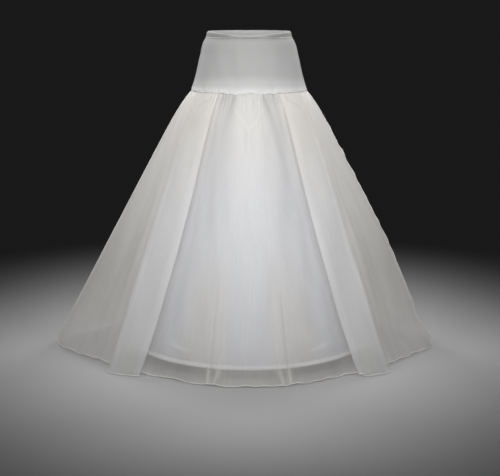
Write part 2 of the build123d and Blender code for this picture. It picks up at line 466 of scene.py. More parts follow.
# Painted shade and light on the waistband: darker at its foot and in the stitched groove, lighter towards its
# top and over the fold
fade_along(
    cloths["band_knit"],
    (0, 0.80), (0.0090, 0.80), (0.0120, 0.62), (0.0150, 0.84), (0.0220, 0.92), (0.0340, 1.0),
)
paint_light_and_shade_by_points(cloths["lining_cloth"])
paint_light_and_shade_by_points(cloths["band_knit"])
boning = plastic_material(
    "boning", (0.80, 0.80, 0.78), (0.72, 0.72, 0.70), roughness=0.45, grain=900.0, bump=0.3
)
sleeve = plastic_material(
    "sleeve", (0.78, 0.80, 0.80), (0.68, 0.70, 0.70), roughness=0.22, grain=600.0, bump=0.15
)
for node, material in (("hoop", boning), ("hoop_joiner", sleeve)):
    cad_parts[node].data.materials.clear()
    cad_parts[node].data.materials.append(material)


# Curves that the cloth is shaped with

WAVE_SLANT = 0.5
WAVE_SHORTEST = 0.35


def smoothstep(low, high, value):
    """Goes softly from 0 at low to 1 at high, which may be the smaller of the two."""
    s = np.clip((value - low) / (high - low), 0, 1)
    return s * s * (3 - 2 * s)


def between(start, full, fall, end, value):
    """Goes softly from 0 at start to 1 at full, and from 1 at fall to 0 at end."""
    return smoothstep(start, full, value) * smoothstep(end, fall, value)


def ridge(distance, width):
    return np.exp(-((distance / width) ** 2))


def fade(value, reach):
    return np.exp(-value / reach)


def waves(kind, across, down, shift=0, count=9):
    """Soft uneven waves over a sheet. kind is their seed, about how high they are and the longest of them."""
    seed, height, longest = kind
    draw = np.random.default_rng(seed + shift)
    total = np.zeros(np.broadcast(across, down).shape)
    for _ in range(count):
        turn = draw.uniform(-WAVE_SLANT, WAVE_SLANT)
        length = longest * draw.uniform(WAVE_SHORTEST, 1.0)
        way = across * math.cos(turn) + down * math.sin(turn)
        total += np.sin(2 * math.pi * way / length + draw.uniform(0, 2 * math.pi))
    return height * (total / math.sqrt(count))


# Overlay

# Its grid: width of a column, fewest columns between two rows of the plan, rows, how they crowd towards
# the hip seam, and rows of the lap above it
COLUMN_PITCH = 0.0034
TURN_COLUMNS = 4
OVERLAY_ROWS = 128
OVERLAY_ROW_POWER = 1.15
LAP_ROWS = 3

# The signs that mirror a row of the plan about the middle, and those and the shift about the side seam
MIRROR = np.array([-1, 1, -1, 1, 1, 1, 1])
SIDE_MIRROR = np.array([1, -1, -1, 1, 1, 1, 1])
SIDE_SHIFT = np.array([0, 0, 180, 0, 0, 0, 0])

# How much of the flare the cloth takes at once below the hip seam
FLARE_START = 0.035

# The bow in the pleat's inner edge
BOW = 0.013
BOW_POWER = 1.2

# The small flute each side of the middle: its thread at the hem, how wide it is on its outer side and,
# between two levels, on its inner side, how far forward it stands, and how far its two edges hang over at
# each level
FLUTE_PLACE = 0.104
FLUTE_OUTER = 0.014
FLUTE_INNER_LEVELS = (0.945, 1.0)
FLUTE_INNER = (0.022, 0.006)
FLUTE_DEPTH = 0.0045
FLUTE_LEVELS = np.array([0.60, 0.70, 0.80, 0.87, 0.96, 1.0])
FLUTE_OVERHANG = np.array([0.0, 0.0010, 0.0012, 0.0014, 0.0030, 0.0010])

# The V in the front: height of its point, slope and width of its arms
V_POINT = -0.278
V_SLOPE = 1.38
V_ARM_WIDTH = 0.011
# The stem below it: its width, and the heights of its two parts
STEM_WIDTH = 0.007
STEM_UPPER = (-0.365, -0.32, -0.285, -0.262)
STEM_LOWER = (-0.55, -0.51, -0.47, -0.44)
# The drag lines beside it: where they start across, how far they reach and fall, their height and width
DRAG_ACROSS = 0.106
DRAG_REACH = 0.049
DRAG_FALL = 0.031
DRAG_HEIGHT = -0.187
DRAG_WIDTH = 0.0045
# How far the arms, the inside, the stem and the drag lines stand out, and how much closer the cloth is
MARK_HEIGHTS = (0.0012, -0.0004, 0.0020, -0.0022)
MARK_LAYERS = (0.05, -0.08, 0.06, -0.10)

# The hollow between the middle and the pleat: its depth, the turn of its edge at the hip seam, how far that
# moves out below, and the turns between which the hollow ends at the pleat
VALLEY_DEPTH = 0.0085
VALLEY_EDGE = 12.5
VALLEY_MOVES = 7
PLEAT_SIDE = (38, 31)
# The turns between which the wing begins
WING_TURNS = (62, 66)

# Relief of the overlay: the raised middle, the pleat's puff, gathers and tucks at the hip seam, whose longest
# waves are in degrees, and broad billows. The seeds are shifted for front and back.
MIDDLE_HEIGHT = 0.0050
PUFF_HEIGHT = 0.0045
GATHERS = (0, 0.0013, 5.5)
TUCKS = (2, 0.0008, 3.2)
BILLOWS = (1, 0.0022, 0.22)
SEED_SHIFTS = {FRONT: 11, BACK: 23}
# Long soft folds in the wing beside the pleat: thread at the hem, width and height
WING_FOLDS = [(0.431, 0.009, 0.0018), (0.462, 0.012, 0.0016), (0.503, 0.018, 0.0022)]

# How far the left wing leans out at the hem, how far the right side seam stands out, draws in towards the
# hem and sinks into a hollow just above it, and how far each wing's hem hangs above the middle's
LEAN = 0.010
STANDS_OUT = 0.002
DRAWN_IN = 0.014
HOLLOW_IN = 0.016
HOLLOW_LEVEL = 0.91
LEFT_LIFT, RIGHT_LIFT = 0.008, 0.003
# Waves of the right side seam and of the hem, how far the hem's corner is drawn in at the side seam, and how
# far the right pleat's inner edge lifts at the hem
SEAM_WAVES = (91, 0.0016, 0.075)
HEM_WAVES = (5, 1, 0.12)
HEM_WAVE_LIFT = 0.0022
CORNER_IN = 0.006
EDGE_LIFT = 0.0065

# Radii of the rolls at the hem and side seams, and how many sides they have
HEM_ROLL = 0.0014
SIDE_ROLL = 0.0010
ROLL_SIDES = 6


def flare_at(t):
    """How far the cloth has gone from the hip's oval to the hem's plan."""
    return (1 - FLARE_START) * t + FLARE_START * (1 - fade(t, 0.05))


def overlay_plan():
    """The quarter's rows drawn as one smooth line, mirrored to run from side seam to side seam."""
    rows = quarter_rows()
    lengths = lengths_along(rows[:, :2])
    spans = np.diff(lengths)
    counts = np.maximum(TURN_COLUMNS, np.ceil(spans / COLUMN_PITCH)).astype(int)
    at = [np.linspace(a, a + s, n, endpoint=False) for a, s, n in zip(lengths, spans, counts)]
    at = np.append(np.concatenate(at), lengths[-1])
    first = rows[1] * MIRROR
    last = rows[-2] * SIDE_MIRROR + SIDE_SHIFT
    reach = np.concatenate([[-spans[0]], lengths, [lengths[-1] + spans[-1]]])
    quarter = smooth_path(np.vstack([first, rows, last]), at, reach)
    return np.concatenate([quarter[:0:-1] * MIRROR, quarter])


def flute_place(hem_across, t):
    """Where a thread lies in the flute: -1 at its inner edge, and 1 at its outer edge."""
    away = np.abs(hem_across) - FLUTE_PLACE
    return away / np.where(away < 0, np.interp(t, FLUTE_INNER_LEVELS, FLUTE_INNER), FLUTE_OUTER)


def flute_shift(hem_across, t):
    """How far the flute pushes the cloth across and forward."""
    s = np.clip(flute_place(hem_across, t), -1, 1)
    overhang = np.interp(t, FLUTE_LEVELS, FLUTE_OVERHANG, left=0)
    across = np.sin(math.pi * s) * (1 - s**2) * overhang
    forward = (1 - s**2) ** 2 * FLUTE_DEPTH * smoothstep(0.6, 0.8, t)
    return np.sign(hem_across) * across, forward


def front_marks(x, z, t):
    """Where the front shows the arms of its V, the inside of the V, the stem below it and the drag lines."""
    above_arms = z - V_POINT - np.abs(x) * V_SLOPE
    near = smoothstep(0.052, 0.038, np.abs(x)) * smoothstep(0, 0.012, t)
    arms = ridge(above_arms, V_ARM_WIDTH) * near
    inside = smoothstep(0.0, 0.014, above_arms) * near
    stem = between(*STEM_UPPER, z) + 0.6 * between(*STEM_LOWER, z)
    along = (np.abs(x) - DRAG_ACROSS) / DRAG_REACH
    drag = ridge(z - DRAG_HEIGHT + DRAG_FALL * along, DRAG_WIDTH) * between(-0.05, 0.1, 0.9, 1.1, along)
    return arms, inside, ridge(x, STEM_WIDTH) * stem, drag


def front_total(amounts, x, z, t):
    """The marks in the front added up, each by its own amount."""
    return sum(amount * mark for amount, mark in zip(amounts, front_marks(x, z, t)))


def past_edge(edge, softness, t, turn, raised):
    """How far a place lies past the hollow's edge, which softens on the way down, and before the pleat."""
    soft = smoothstep(0, 0.12, t)
    low = edge - softness[0] - 2 * soft
    high = edge + softness[1] + 6 * soft
    return smoothstep(low, high, turn) * smoothstep(*PLEAT_SIDE, turn) * (1 - raised)


def valley_share(t, turn, raised):
    """How far a place belongs to the hollow between the middle of the front and the pleat."""
    edge = VALLEY_EDGE + VALLEY_MOVES * smoothstep(0, 0.3, t)
    sinks_over = 0.010 + 0.075 * smoothstep(15, 25, turn)
    depth = (1 - fade(t, sinks_over)) * fade(t, 0.28)
    return past_edge(edge, (1.5, 3), t, turn, raised) * depth


def overlay_painted_light_and_shade(t, turn, raised):
    """Painted light and shade as a share of the cloth's colour: painted shade in the hollow, at the seam, on
    the panel and at the pleat's foot, and painted light at the hips and beside the pleat's edge.
    """
    edge = VALLEY_EDGE + VALLEY_MOVES * smoothstep(0, 0.3, t) + 3 * smoothstep(0.3, 0.8, t)
    # Painted shade in the hollow, strongest just below the hip seam, with less of it near the pleat lower
    # down
    at_seam = 0.20 * smoothstep(34, 22, turn) * fade(t, 0.09) * (1 - fade(t, 0.006))
    lower = 0.045 * smoothstep(0.05, 0.15, t) - 0.08 * smoothstep(22, 30, turn) * smoothstep(0.3, 0.7, t)
    hollow = (at_seam + lower) * past_edge(edge, (2.5, 2), t, turn, raised)
    # Painted light beside the pleat's inner edge, and painted shade on the pleat's own edge
    pleat_edge_painted_light_and_shade = 0.07 * smoothstep(25, 29, turn) * (1 - raised) - 0.04 * raised
    pleat_edge_painted_light_and_shade = pleat_edge_painted_light_and_shade * smoothstep(*PLEAT_SIDE, turn) * between(0.01, 0.04, 0.25, 0.5, t)
    # Painted shade on the panel beside the middle, painted light at the hips, painted shade at the pleat's
    # foot
    panel = 0.05 * between(4, 12, 22, 30, turn) * between(0.08, 0.2, 0.35, 0.55, t)
    hip_painted_light = 0.10 * smoothstep(27, 33, turn) * fade(t, 0.12)
    foot = 0.12 * raised * smoothstep(0.90, 0.98, t)
    return 1 + hip_painted_light + pleat_edge_painted_light_and_shade - hollow - panel - foot


def overlay_cool(t, turn, raised):
    """How far the cloth is a cooler white: on the pleat and before it, but less beside the middle."""
    cool = np.maximum(raised, smoothstep(40, 24, turn) * smoothstep(0.96, 0.92, t))
    warm = between(4.5, 8, 18, 24, turn) * smoothstep(0.5, 0.75, t)
    return cool * smoothstep(0.05, 0.45, t) * (1 - 0.9 * warm)


def overlay_relief(half, x, z, t, angle, hem_across, raised):
    """How far the cloth stands out from its plain flare: seam gathers, the raised middle, puffs, folds."""
    shift = SEED_SHIFTS[half]
    turn = np.abs(angle)
    relief = -VALLEY_DEPTH * valley_share(t, turn, raised)
    relief += MIDDLE_HEIGHT * (1 - fade(t, 0.006)) * fade(t, 0.24) * smoothstep(20, 13, turn)
    relief += PUFF_HEIGHT * (1 - fade(t, 0.09)) * fade(t, 0.12) * raised
    relief += fade(t, 0.045) * smoothstep(0, 0.006, t) * waves(GATHERS, angle, 0 * t, shift)
    tucks = waves(TUCKS, angle, 60 * t, shift) * smoothstep(18, 24, turn)
    relief += fade(t, 0.018) * smoothstep(0, 0.003, t) * tucks
    for place_across, width, height in WING_FOLDS:
        relief += height * t**1.2 * ridge(np.abs(hem_across) - place_across, width) * (1 - raised)
    relief += np.sqrt(t) * waves(BILLOWS, hem_across, z, shift)
    if half == FRONT:
        relief += front_total(MARK_HEIGHTS, x, z, t)
    return relief


def flute_layers(hem_across, t):
    """How much closer the cloth is at the flute's edges and on its outer line."""
    in_flute = flute_place(hem_across, t)
    below = smoothstep(0.935, 0.955, t)
    edges = (ridge(in_flute, 1.0) - ridge(in_flute, 0.45)) * smoothstep(0.62, 0.75, t)
    line = ridge(in_flute - 1, 0.3) * smoothstep(0.7, 0.85, t)
    return edges * (0.28 + 0.75 * below) + line * (0.12 + 0.43 * below)


def wing_layers(hem_across, t, turn):
    """How much closer the cloth is in the wing: at the seam, beside the pleat and in its folds."""
    from_middle = np.abs(hem_across)
    layers = (0.64 - 0.70 * t).clip(-0.05)
    layers = layers + 0.24 * smoothstep(0.455, 0.425, from_middle) * smoothstep(0.2, 0.5, t)
    layers = layers * smoothstep(*WING_TURNS, turn)
    for place_across, width, _ in WING_FOLDS:
        layers = layers + 0.12 * t * ridge(from_middle - place_across, width)
    return layers


def overlay_layers(half, x, z, t, turn, hem_across, raised, edge):
    """How close the cloth is, where 1 is one plain layer."""
    layers = 1 + 0.22 * edge * smoothstep(0.06, 0.2, t) - 0.20 * raised * smoothstep(0.88, 0.98, t)
    layers = layers + 0.25 * ridge(turn, 13) + 0.05 * valley_share(t, turn, raised)
    at_seam = smoothstep(20, 30, turn) * smoothstep(*PLEAT_SIDE, turn) * (1 - raised)
    layers = layers + 0.35 * fade(t, 0.10) * at_seam
    layers = layers + flute_layers(hem_across, t) + wing_layers(hem_across, t, turn) * (1 - raised)
    layers = layers + 0.30 * smoothstep(86.5, 88.8, turn)
    if half == FRONT:
        layers = layers + front_total(MARK_LAYERS, x, z, t)
    return layers


def side_sway(across, z, t, turn):
    """How far the wings sway to the left: the left one leans out and the right one draws in above the hem."""
    right = DRAWN_IN * smoothstep(0.55, 0.82, t) - STANDS_OUT * smoothstep(0.15, 0.4, t)
    right = right + HOLLOW_IN * ridge(t - HOLLOW_LEVEL, 0.07)
    seam_waves = waves(SEAM_WAVES, z, 0 * z) * smoothstep(0.04, 0.2, t) * smoothstep(86, 89, turn)
    seam_waves = seam_waves * (1 - 0.7 * smoothstep(0.5, 0.68, t))
    wing = smoothstep(60, 85, turn)
    return np.where(across > 0, right * wing + seam_waves, LEAN * t * wing)


def hem_lift(half, t, turn, hem_across, raised, edge):
    """How far the cloth is lifted: in waves at the hem, at the right pleat's inner edge, in the wings."""
    on_right = half * hem_across < 0
    small = (1 + waves(HEM_WAVES, hem_across, 0 * t)).clip(0)
    lift = HEM_WAVE_LIFT * smoothstep(0.93, 1, t) * small * (1 - 0.8 * raised)
    inner_edge = edge * smoothstep(0.345, 0.325, -half * hem_across) * on_right
    lift += EDGE_LIFT * inner_edge * smoothstep(0.955, 1, t)
    return lift + np.where(on_right, RIGHT_LIFT, LEFT_LIFT) * t * smoothstep(*WING_TURNS, turn)


def overlay_grid(half):
    """Points of one overlay panel, its cloth coordinates, and the values of its cloth at each point."""
    hem_across, hem_forward, angle, depth, bow, raised, edge = (row[None, :] for row in overlay_plan().T)
    raised = np.clip(raised, 0, 1)
    edge = np.clip(edge, 0, 1)
    lap = np.linspace(-1, 0, LAP_ROWS, endpoint=False)
    t = np.concatenate([lap, np.linspace(0, 1, OVERLAY_ROWS) ** OVERLAY_ROW_POWER])
    drop = np.where(t < 0, HIP_DROP + SEAM_LAP * t, HIP_DROP + (HEM_DROP - HIP_DROP) * t)
    oval = yoke_oval(np.minimum(drop, HIP_DROP)) - OVERLAY_INSET
    t = np.clip(t, 0, 1)[:, None]
    flare = flare_at(t)
    turn = np.abs(angle)
    sine, cosine = np.sin(np.radians(angle)), np.cos(np.radians(angle))
    pull, push = flute_shift(hem_across, t)
    pull = pull - np.sign(hem_across) * BOW * bow * np.sin(math.pi * t**BOW_POWER)
    x = (1 - flare) * (oval[:, :1] - depth) * sine + flare * hem_across + pull
    y = (1 - flare) * (oval[:, 1:] - depth) * cosine + flare * hem_forward + push
    z = np.repeat(-drop[:, None], x.shape[1], axis=1)
    layers = overlay_layers(half, x, z, t, turn, hem_across, raised, edge)
    out = np.stack([sine / HIP_OVAL[0], cosine / HIP_OVAL[1]])
    out /= np.linalg.norm(out, axis=0)
    relief = overlay_relief(half, x, z, t, angle, hem_across, raised) * smoothstep(90, 82, turn)
    x += out[0] * relief
    y += out[1] * relief
    x -= np.sign(angle) * CORNER_IN * smoothstep(0.97, 1, t) ** 2 * smoothstep(83, 89, turn)
    z += hem_lift(half, t, turn, hem_across, raised, edge)
    grid = np.stack([-half * x, half * y, z], axis=-1)
    grid[..., 0] -= side_sway(grid[..., 0], z, t, turn)
    along = lengths_along(grid[-1])
    along -= along[-1] / 2
    uv = np.stack([np.broadcast_to(along, x.shape), z], axis=-1)
    cool = overlay_cool(t, turn, raised)
    # The tone value is painted light and shade in the cloth's colour
    return grid, uv, {"layers": layers, "cool": cool, "tone": overlay_painted_light_and_shade(t, turn, raised)}


def rings_round(path_way, sides):
    """Rings of unit vectors round a path's direction, and the angles of their points."""
    side = np.cross(path_way, [0.0, 0.0, 1.0])
    side /= np.linalg.norm(side, axis=-1)[..., None]
    rise = np.cross(side, path_way)
    turn = full_turn(sides)
    return np.cos(turn)[:, None] * side[..., None, :] + np.sin(turn)[:, None] * rise[..., None, :], turn


def hem_tube(name, path, radius, sides=ROLL_SIDES):
    """A thin roll of cloth along a path. radius is one value, or one for each point."""
    way = np.gradient(path, axis=0)
    way /= np.linalg.norm(way, axis=1)[:, None]
    ring, turn = rings_round(way, sides)
    radius = np.broadcast_to(radius, len(path))
    grid = path[:, None] + radius[:, None, None] * ring
    uv = np.stack(np.meshgrid(lengths_along(path), turn * radius.mean(), indexing="ij"), axis=-1)
    return grid_piece(name, grid, around=True, uv=uv)


def make_overlay(half, side):
    grid, uv, values = overlay_grid(half)
    cloth = grid_piece(f"overlay_{side}_cloth", grid, uv=uv)
    add_values(cloth, **values)
    place(cloth, "organza", organza, f"overlay_{side}")
    trim = [hem_tube(f"overlay_{side}_hem", grid[-1], HEM_ROLL)]
    if half == FRONT:
        for end, column in (("left", 0), ("right", -1)):
            trim.append(hem_tube(f"overlay_{end}_seam", grid[LAP_ROWS + 1:, column], SIDE_ROLL))
    for roll in trim:
        place(roll, "organza", cloths["roll_cloth"])


# Lining

HALF_COLUMNS = 241
LINING_ROWS = 100
LINING_ROW_POWER = 0.8

# Its hollow under the overlay's: turns, and how far it sinks
SUNK_TURNS = (9, 15, 31, 40)
SUNK_SHARE = 0.055
# Its waves, the degrees of a radian, rounded for them, and the dent at its side seams
LINING_WAVES = (61, 0.0016, 0.16)
RADIAN = 57
LINING_SEAM_DEPTH = 0.0016
# Creases above the hoop: angle from the middle and drop of each end, how wide and high they are, and how much
# light is painted on their crests
LINING_CREASES = [(-33.0, 0.880, -20.5, 0.900), (33.5, 0.882, 21.5, 0.898)]
CREASE_WIDTH = 0.0045
CREASE_HEIGHT = 0.0050
CREASE_PAINTED_LIGHT = 0.38


def oval_grid(half, drops, ovals):
    """Points of half an oval skirt, and its cloth coordinates."""
    start = math.pi if half == FRONT else 0
    turn = np.linspace(start, start + math.pi, HALF_COLUMNS)
    grid = round_line(turn, ovals[:, :1], ovals[:, 1:], -drops[:, None])
    along = np.broadcast_to((turn - start) * ovals.mean(), grid.shape[:2])
    return grid, np.stack([along, grid[..., 2]], axis=-1)


def lining_creases(turn, drops):
    """Where the lining is creased, up to 1 on the crests."""
    height = np.zeros(np.broadcast(turn, drops).shape)
    for start_turn, start_drop, end_turn, end_drop in LINING_CREASES:
        along = (turn - start_turn) / (end_turn - start_turn)
        line = start_drop + along * (end_drop - start_drop)
        height += ridge(drops - line, CREASE_WIDTH) * between(0, 0.25, 0.75, 1, along)
    return height


def make_lining(half, side):
    foot = HOOP_DROP - CASING_HEIGHT / 2
    levels = np.linspace(0, 1, LINING_ROWS) ** LINING_ROW_POWER
    drops = np.concatenate([[HIP_DROP - SEAM_LAP], HIP_DROP + (foot - HIP_DROP) * levels])
    share = np.clip((drops - HIP_DROP) / (foot - HIP_DROP), 0, 1)[:, None]
    ovals = (1 - share) * (yoke_oval(np.minimum(drops, HIP_DROP)) - LINING_INSET) + share * HOOP_RADIUS
    grid, uv = oval_grid(half, drops, ovals)
    turn = np.degrees(np.arctan2(grid[..., 0] / HIP_OVAL[0], np.abs(grid[..., 1]) / HIP_OVAL[1]))
    sunk = between(*SUNK_TURNS, np.abs(turn))
    below = np.clip(drops - HIP_DROP, 0, 1)[:, None]
    scale = 1 - SUNK_SHARE * sunk * (1 - fade(below, 0.012)) * fade(below, 0.10)
    billows = waves(LINING_WAVES, turn / RADIAN * HOOP_RADIUS, -below, half)
    relief = np.sqrt(share) * smoothstep(1, 0.9, share) * billows
    relief -= LINING_SEAM_DEPTH * ridge(90 - np.abs(turn), 0.5)
    # Painted shade in the lining's hollow under the overlay's
    tone = 1 - 0.12 * sunk * fade(below, 0.16)
    if half == FRONT:
        creases = lining_creases(turn, drops[:, None])
        relief += CREASE_HEIGHT * creases
        # Painted light on the crests of the creases
        tone += CREASE_PAINTED_LIGHT * creases
    scale += relief * smoothstep(0, 0.02, share) / np.hypot(grid[..., 0], grid[..., 1])
    grid[..., :2] *= scale[..., None]
    cloth = grid_piece(f"lining_{side}_cloth", grid, uv=uv)
    add_values(cloth, tone=tone)
    place(cloth, "lining", cloths["lining_cloth"], f"lining_{side}")


# Yoke

YOKE_ROWS = 60
YOKE_INSET = 0.0006
YOKE_UNDER_BAND = 0.002
KNIT_THICKNESS = 0.0010
# How much lower the yoke's pale foot begins at the sides
YOKE_ARCH = 0.016
# Its waves, the puckers above the hip seam, and the dent at its side seams
YOKE_WAVES = (41, 0.0009, 0.13)
PUCKERS = (47, 1, 0.022)
PUCKER_HEIGHT = 0.0006
YOKE_SEAM_DEPTH = 0.0009
# How the hip seam is drawn up: in small waves, towards the sides, and in front in the middle but less
# beside it
LIFT_WAVES = (31, 0.0007, 0.045)
LIFT_SIDES = 0.0020
LIFT_MIDDLE = 0.0022
DIP_BESIDE, DIP_ACROSS = 0.0014, 0.037
# The roll of the hip seam: its radius, the waves of that, whose length is in columns, and its sides
HIP_ROLL = 0.0009
HIP_ROLL_WAVES = (71, 0.0002, 14)
HIP_ROLL_SIDES = 8
# Stitches: pitch, length, radius and its share along them. Those above the hip seam lie on a row of the
# yoke, counted from its foot, and stand proud of it.
STITCH_PITCH = 0.0045
STITCH_LENGTH = 0.0030
STITCH_RADIUS = 0.00032
STITCH_SHARES = np.array([0.15, 0.9, 1.0, 0.9, 0.15])
HIP_STITCH_ROW = 4
HIP_STITCH_PROUD = 0.0007


def seam_lift(half, across):
    """How far the hip seam is drawn up above its level."""
    lift = waves(LIFT_WAVES, across, 0 * across, half)
    lift += LIFT_SIDES * smoothstep(0.05, 0.10, np.abs(across))
    if half == FRONT:
        lift += LIFT_MIDDLE * ridge(across, 0.022)
        lift -= DIP_BESIDE * ridge(np.abs(across) - DIP_ACROSS, 0.012)
    return lift


def stitch_row(name, path):
    """Separate small stitches along a path."""
    length = lengths_along(path)
    starts = np.arange(STITCH_PITCH / 2, length[-1] - STITCH_LENGTH, STITCH_PITCH)
    at = starts[:, None] + STITCH_LENGTH * np.linspace(0, 1, len(STITCH_SHARES))
    middle = np.stack([np.interp(at, length, path[:, k]) for k in range(3)], axis=-1)
    way = np.stack([np.interp(at, length, np.gradient(path[:, k])) for k in range(3)], axis=-1)
    way /= np.linalg.norm(way, axis=-1)[..., None]
    ring, turn = rings_round(way, ROLL_SIDES)
    points = middle[..., None, :] + STITCH_RADIUS * STITCH_SHARES[:, None, None] * ring
    one = grid_faces(len(STITCH_SHARES), len(turn), around=True)
    each = len(STITCH_SHARES) * len(turn)
    faces = np.concatenate([one + each * k for k in range(len(starts))])
    uvs = np.stack(np.broadcast_arrays(at[..., None], STITCH_RADIUS * turn), axis=-1)
    return add_mesh(name, points.reshape(-1, 3), faces, uvs.reshape(-1, 2))


def make_yoke(half, side):
    drops = np.linspace(BAND_DROP - YOKE_UNDER_BAND, HIP_DROP, YOKE_ROWS)
    share = np.linspace(0, 1, YOKE_ROWS)[:, None]
    grid, uv = oval_grid(half, drops, yoke_oval(drops) - YOKE_INSET)
    x, y, z = np.moveaxis(grid, -1, 0)
    uv[..., 1] += YOKE_ARCH * (x / HIP_OVAL[0]) ** 2 * smoothstep(1, 0.8, share)
    relief = np.sin(math.pi * share) * waves(YOKE_WAVES, x, z, half)
    puckers = waves(PUCKERS, x + 0.4 * z, 0 * x, half)
    relief += PUCKER_HEIGHT * smoothstep(0.86, 1.0, share) * (1 + puckers)
    relief -= YOKE_SEAM_DEPTH * ridge(y, 0.0022)
    grid[..., :2] *= (1 + relief / np.hypot(x, y))[..., None]
    grid[..., 2] += seam_lift(half, x) * smoothstep(0.5, 1, share)
    cloth = grid_piece(f"yoke_{side}_knit", grid, uv=uv)
    thicken(cloth, KNIT_THICKNESS)
    place(cloth, "knit", cloths["knit"], f"yoke_{side}")
    foot = grid[-1]
    level = 0 * foot[:, 0]
    radius = HIP_ROLL + waves(HIP_ROLL_WAVES, np.arange(len(foot)), level, half)
    seam = hem_tube(f"hip_seam_{side}", foot, radius, sides=HIP_ROLL_SIDES)
    place(seam, "knit", cloths["seam_knit"])
    outward = foot[:, :2] / np.linalg.norm(foot[:, :2], axis=1)[:, None]
    path = grid[-HIP_STITCH_ROW] + HIP_STITCH_PROUD * np.column_stack([outward, level])
    stitches = stitch_row(f"hip_stitches_{side}", path)
    place(stitches, "knit", cloths["thread"])


# Waistband and elastic

WAIST_COLUMNS = 360
WAIST_RADIUS = 0.11
# How far the rim dips in front, the stitched line under the elastic, how much lower that lies at the sides
# and higher in front, and how deep the stitches lie in it
WAIST_DIP = 0.0090
WAIST_DIP_POWER = 2.4
CHANNEL_DROP = 0.0120
CHANNEL_SIDES_LOWER = 0.0050
CHANNEL_FRONT_HIGHER = 0.0035
STITCH_INSET = 0.0006
# Puckers round the band, and how many waves make them up
BAND_PUCKERS = (83, 0.0003, 0.22)
BAND_PUCKER_COUNT = 14
# The band's section: thickness, wall, rows outside, over the fold and inside, how proud its foot stands, how
# much more the channel does, its puff, the groove of the stitches, and the top of the pocket inside
BAND_THICKNESS = 0.0052
BAND_WALL = 0.0012
OUTER_ROWS, FOLD_ROWS, INNER_ROWS = 32, 9, 6
FOOT_PROUD = -0.0004
CHANNEL_PROUD = 0.0014
CHANNEL_PUFF = 0.0008
GROOVE_DEPTH, GROOVE_WIDTH = 0.0017, 0.0012
FOLD_PUCKER = 0.2
POCKET_SHOULDER, POCKET_TOP = 0.004, 0.0026
# The elastic's section
ELASTIC_DROPS = (0.0030, 0.0228)
ELASTIC_INSETS = (0.0017, 0.0035)


def waist_line(turn, drop, inset):
    """A line round the waist, drop below its dipped rim and inset from the yoke's outside."""
    to_front = np.clip(-np.sin(turn), 0, 1)
    channel_shift = CHANNEL_SIDES_LOWER * np.cos(turn) ** 2 - CHANNEL_FRONT_HIGHER * to_front**2
    level = drop + channel_shift * math.sin(math.pi * min(drop / BAND_DROP, 1))
    level = level + WAIST_DIP * to_front**WAIST_DIP_POWER
    width, depth = (yoke_oval(level) - np.reshape(inset, (-1, 1))).T
    return round_line(turn, width, depth, -level)


def ring_piece(name, profile):
    """A closed band round the waist from a closed profile of drop, inset and share of the puckers."""
    turn = full_turn(WAIST_COLUMNS)
    puckers = waves(BAND_PUCKERS, np.sin(turn), np.cos(turn), count=BAND_PUCKER_COUNT)
    grid = np.array([waist_line(turn, drop, inset - pucker * puckers) for drop, inset, pucker in profile])
    v = lengths_along(np.asarray(profile)[:, :2])
    uv = np.stack(np.meshgrid(v, turn * WAIST_RADIUS, indexing="ij"), axis=-1)[..., ::-1]
    return grid_piece(name, grid, around=True, closed=True, uv=uv)


def band_painted_shade(drop, turn):
    """Painted shade on the waistband's outside, as a share of its colour: darker beside the middle and about
    the stitched line.
    """
    under = np.reshape(drop, (-1, 1)) - CHANNEL_DROP
    beside = smoothstep(0.25, 0.6, np.abs(np.cos(turn)))
    line = (0.12 + 0.20 * beside) * ridge(under, 0.0016)
    above = (0.06 + 0.28 * beside) * smoothstep(0, -0.003, under)
    below = (0.10 + 0.14 * beside) * smoothstep(0.010, 0, under) * (under > 0)
    return 1 - line - above - below


def make_waistband():
    half = BAND_THICKNESS / 2
    outer = []
    for drop in np.linspace(BAND_DROP, half, OUTER_ROWS):
        up_band = smoothstep(BAND_DROP, CHANNEL_DROP, drop)
        proud = FOOT_PROUD + CHANNEL_PROUD * up_band
        proud += CHANNEL_PUFF * math.sin(math.pi * min(drop / CHANNEL_DROP, 1))
        proud -= GROOVE_DEPTH * ridge(drop - CHANNEL_DROP, GROOVE_WIDTH)
        outer.append((drop, -proud, up_band))
    turns = np.linspace(0, math.pi, FOLD_ROWS)
    fold = [(half * (1 - math.sin(a)), half * (1 - math.cos(a)), FOLD_PUCKER) for a in turns]
    inner = [(drop, BAND_THICKNESS, 0) for drop in np.linspace(half, BAND_DROP, INNER_ROWS)]
    pocket = [(BAND_DROP, BAND_WALL), (POCKET_SHOULDER, BAND_WALL), (POCKET_TOP, 2 * BAND_WALL)]
    back = [(drop, BAND_THICKNESS - inset, 0) for drop, inset in pocket]
    channel = [(drop, inset, 0) for drop, inset in reversed(pocket)]
    profile = outer + fold[1:] + inner[1:] + back + channel
    band = ring_piece("waistband_knit", profile)
    tone = np.ones((len(profile), WAIST_COLUMNS))
    # Painted shade on the band's outside
    tone[:len(outer)] = band_painted_shade([row[0] for row in outer], full_turn(WAIST_COLUMNS))
    add_values(band, tone=tone)
    place(band, "knit", cloths["band_knit"], "waistband")
    turn = np.linspace(0, 2 * math.pi, WAIST_COLUMNS + 1)
    path = waist_line(turn, CHANNEL_DROP, STITCH_INSET)
    stitches = place(stitch_row("waistband_stitches", path), "knit", cloths["band_thread"])


def make_elastic():
    top, foot = ELASTIC_DROPS
    outside, inside = ELASTIC_INSETS
    profile = [(foot, outside, 0), (top, outside, 0), (top, inside, 0), (foot, inside, 0)]
    web = ring_piece("waist_elastic_web", profile)
    place(web, "elastic", cloths["elastic_web"], "waist_elastic")


# Hoop casing

CASING_COLUMNS = 420
CASING_SIDES = 17
